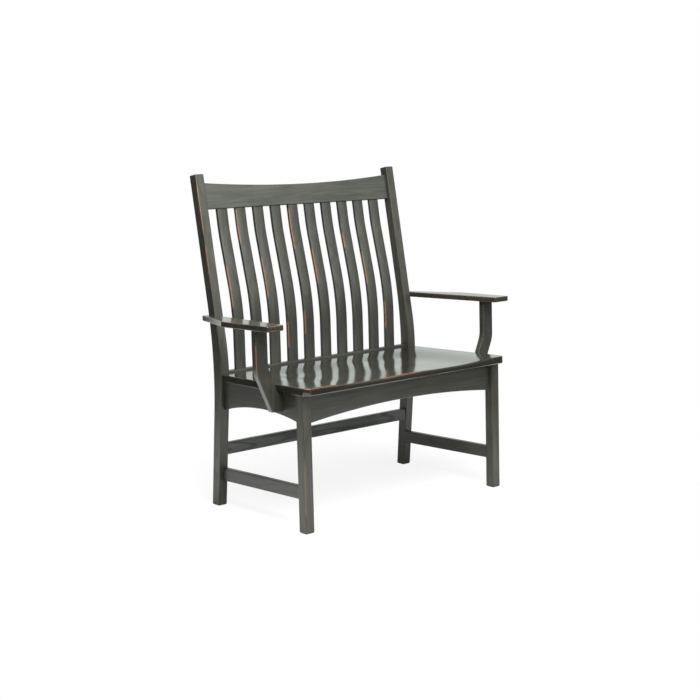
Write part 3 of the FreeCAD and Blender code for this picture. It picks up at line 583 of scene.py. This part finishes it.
def dish(x, v):
    reach = square["inner"] + seat["postLap"] - seat["dishEndMargin"]
    across = smoothStep((reach - abs(x)) / seat["dishEndSlope"])
    ridge = 1 - seat["dishRidgeShare"] * math.exp(-((x / seat["dishRidgeWidth"]) ** 2))
    if v > seat["dishDeepest"]:
        rear = seat["rearV"] - seat["dishRearMargin"]
        along = smoothStep((rear - v) / (rear - seat["dishDeepest"]))
    else:
        front = smoothStep((seat["dishDeepest"] - v) / (seat["dishDeepest"] + seat["frontOverhang"]))
        along = 1 - (1 - seat["dishFrontShare"]) * front
    return seat["dishDepth"] * across * ridge * along


def quarterDrop(distance, radius):
    if distance >= radius:
        return 0.0
    return radius - math.sqrt(max(radius ** 2 - (radius - distance) ** 2, 0.0))


def seatHalf(v, notched):
    if notched:
        return square["inner"] - seat["notchGap"]
    frontHalf = square["halfWidth"] + seat["sideOverhang"]
    rearHalf = square["inner"] + seat["postLap"]
    fromFront = v + seat["frontOverhang"]
    half = frontHalf - fromFront / seat["depth"] * (frontHalf - rearHalf)
    return half - quarterDrop(fromFront, seat["cornerRadius"])


def seatColumns():  # shares of the half width, close together at both rims
    width = seat["meshWidth"]
    even = [-1 + 2 * i / seat["columns"] for i in range(seat["columns"] + 1)]
    near = [-1 + 2 * r / width for r in seat["rim"]]
    clear = 1 - seat["rimClear"] / width
    return sorted({*near, *[u for u in even if abs(u) < clear], *[-u for u in near]})


def seatRows(number):  # places from front to back, and whether the row lies between the posts
    near = -seat["frontOverhang"] + seat["boardDepth"] * (number - 1)
    rows = [(near + seat["boardDepth"] * i / seat["rows"], False) for i in range(seat["rows"] + 1)]
    if number == 1:
        rows = rows[:1] + [(near + f, False) for f in seat["frontRows"]] + rows[seat["frontSkipped"]:]
    if number == seat["boards"]:
        notch = seat["notchV"]
        share = (near + seat["boardDepth"] - notch) / seat["notchRows"]
        rows = [row for row in rows if row[0] < notch - 0.002] + [(notch, False), (notch, True)]
        rows += [(notch + share * i, True) for i in range(1, seat["notchRows"] + 1)]
    return rows


def seatBoard(number):
    columns = seatColumns()
    if number == seat["boards"]:
        corner = seatHalf(seat["notchV"], True) / seatHalf(seat["notchV"], False)
        columns = sorted(columns + [-corner, corner])
    shape = bmesh.new()
    top = []
    low = []
    for v, notched in seatRows(number):
        half = seatHalf(v, False)
        limit = seatHalf(v, notched)
        front = v + seat["frontOverhang"]
        topRow = []
        lowRow = []
        for u in columns:
            x = min(max(u * half, -limit), limit)
            rim = front if notched else min((1 - abs(u)) * half, front)
            lift = max(seat["underChamfer"] - rim, 0.0)
            height = seat["top"] - dish(x, v) - quarterDrop(rim, seat["edgeRound"])
            topRow.append(shape.verts.new(toRow(x, v, height)))
            lowRow.append(shape.verts.new(toRow(x, v, seat["top"] - seat["thickness"] + lift)))
        top.append(topRow)
        low.append(lowRow)
    for i in range(len(top) - 1):
        for j in range(len(columns) - 1):
            shape.faces.new((top[i][j], top[i][j + 1], top[i + 1][j + 1], top[i + 1][j]))
            shape.faces.new((low[i][j], low[i + 1][j], low[i + 1][j + 1], low[i][j + 1]))
        shape.faces.new((top[i][0], top[i + 1][0], low[i + 1][0], low[i][0]))
        shape.faces.new((top[i][-1], low[i][-1], low[i + 1][-1], top[i + 1][-1]))
    for j in range(len(columns) - 1):
        shape.faces.new((top[0][j], low[0][j], low[0][j + 1], top[0][j + 1]))
        shape.faces.new((top[-1][j], top[-1][j + 1], low[-1][j + 1], low[-1][j]))
    bmesh.ops.remove_doubles(shape, verts=shape.verts, dist=seat["weld"])
    mesh = bpy.data.meshes.new("seatBoard")
    shape.to_mesh(mesh)
    shape.free()
    mesh.materials.append(seatOak)
    addPiece(f"seatBoard{number}", mesh, "seat_oak", seat["sharp"], f"seat_board_{number}")


for number in range(1, seat["boards"] + 1):
    seatBoard(number)


print("stage")
stage = {
    "floorRadius": 2.0,
    "floorSides": 64,
    "floorColour": (0.86, 0.86, 0.86),
    "shadowShare": 0.18,
    "shadowNear": 0.6,
    "shadowFar": 1.3,
}


def stageMaterial():  # white to the camera, a little less so near the bench, where its shadow shows
    net = Net(bpy.data.materials.new("stageWhite"))
    lit = net.node("ShaderNodeBsdfDiffuse", {}, (*stage["floorColour"], 1), 1.0)
    white = net.node("ShaderNodeEmission", {}, (1, 1, 1, 1), 1.0)
    seen = net.node("ShaderNodeLightPath")
    away = net.vector("LENGTH", objectCoords(net), output=1)
    near = 1 - away.step(stage["shadowNear"], stage["shadowFar"])
    share = seen * (1 - near * stage["shadowShare"])
    return net.finish(net.node("ShaderNodeMixShader", {}, share, lit, white))


def makeFloor():
    count = stage["floorSides"]
    turns = [math.tau * i / count for i in range(count)]
    ring = [(stage["floorRadius"] * math.cos(a), stage["floorRadius"] * math.sin(a), 0) for a in turns]
    mesh = bpy.data.meshes.new("floor")
    mesh.from_pydata(ring, [], [tuple(range(count))])
    mesh.materials.append(stageMaterial())
    addObject("floor", mesh)


room = {  # strengths by direction; a range is a sine of height, or a cosine from the given way
    "low": 0.09,
    "high": 0.5,
    "rise": (0.12, 0.45),
    "backdrop": 0.90,
    "backdropWay": (0.67, 0.74),
    "backdropWide": (0.55, 0.85),
    "backdropHigh": (0.35, 0.60),
    "front": 2.5,
    "frontTurn": math.radians(6.0),
    "frontWide": (0.66, 0.90),
    "frontLow": (0.0, 0.22),
    "frontHigh": (0.60, 0.85),
    "tint": (0.94, 1.0, 0.955),
}


def makeWorld():
    net = Net(bpy.data.worlds.new("studio"), "ShaderNodeOutputWorld")
    x, y, z = net.split(net.node("ShaderNodeTexCoord"))
    level = (x * x + y * y).root().most(0.001)
    facing = (x * math.sin(room["frontTurn"]) - y * math.cos(room["frontTurn"])) / level
    front = facing.step(*room["frontWide"]) * z.step(*room["frontLow"]) * (1 - z.step(*room["frontHigh"]))
    away = (x * room["backdropWay"][0] + y * room["backdropWay"][1]) / level
    back = away.step(*room["backdropWide"]) * (1 - z.step(*room["backdropHigh"]))
    strength = room["low"] + z.step(*room["rise"]) * (room["high"] - room["low"])
    strength = strength.most(front * room["front"]).most(back * room["backdrop"])
    lit = net.node("ShaderNodeBackground", {}, (*room["tint"], 1), strength)
    white = net.node("ShaderNodeBackground", {}, (1, 1, 1, 1), 1.0)
    seen = net.node("ShaderNodeLightPath")
    scene.world = net.finish(net.node("ShaderNodeMixShader", {}, seen, lit, white))


overhead = {
    "place": (-0.5, -0.9, 2.2),
    "target": (-0.1, -0.2, 0),
    "size": 1.8,
    "power": 105,
}


def aim(holder, place, way):
    holder.location = place
    holder.rotation_euler = way.to_track_quat("-Z", "Y").to_euler()


def makeLamp():
    data = bpy.data.lights.new("overhead", "AREA")
    data.size = overhead["size"]
    data.energy = overhead["power"]
    way = Vector(overhead["target"]) - Vector(overhead["place"])
    aim(addObject("overhead", data), overhead["place"], way)


camera = {
    "place": (-3.4325, square["shift"] - 3.51155, 1.37404),
    "yaw": math.radians(-42.031),
    "pitch": math.radians(9.534),
    "lens": 76.452,
    "sensor": 36.0,
    "aside": -0.0011,
    "sight": 60,
}


def makeCamera():
    data = bpy.data.cameras.new("camera")
    data.lens = camera["lens"]
    data.sensor_width = camera["sensor"]
    data.shift_x = camera["aside"]
    data.clip_end = camera["sight"]
    yaw = camera["yaw"]
    level = math.cos(camera["pitch"])
    way = Vector((-math.sin(yaw) * level, math.cos(yaw) * level, -math.sin(camera["pitch"])))
    scene.camera = addObject("camera", data)
    aim(scene.camera, camera["place"], way)


makeFloor()
makeWorld()
makeLamp()
makeCamera()
scene.view_settings.view_transform = "Standard"
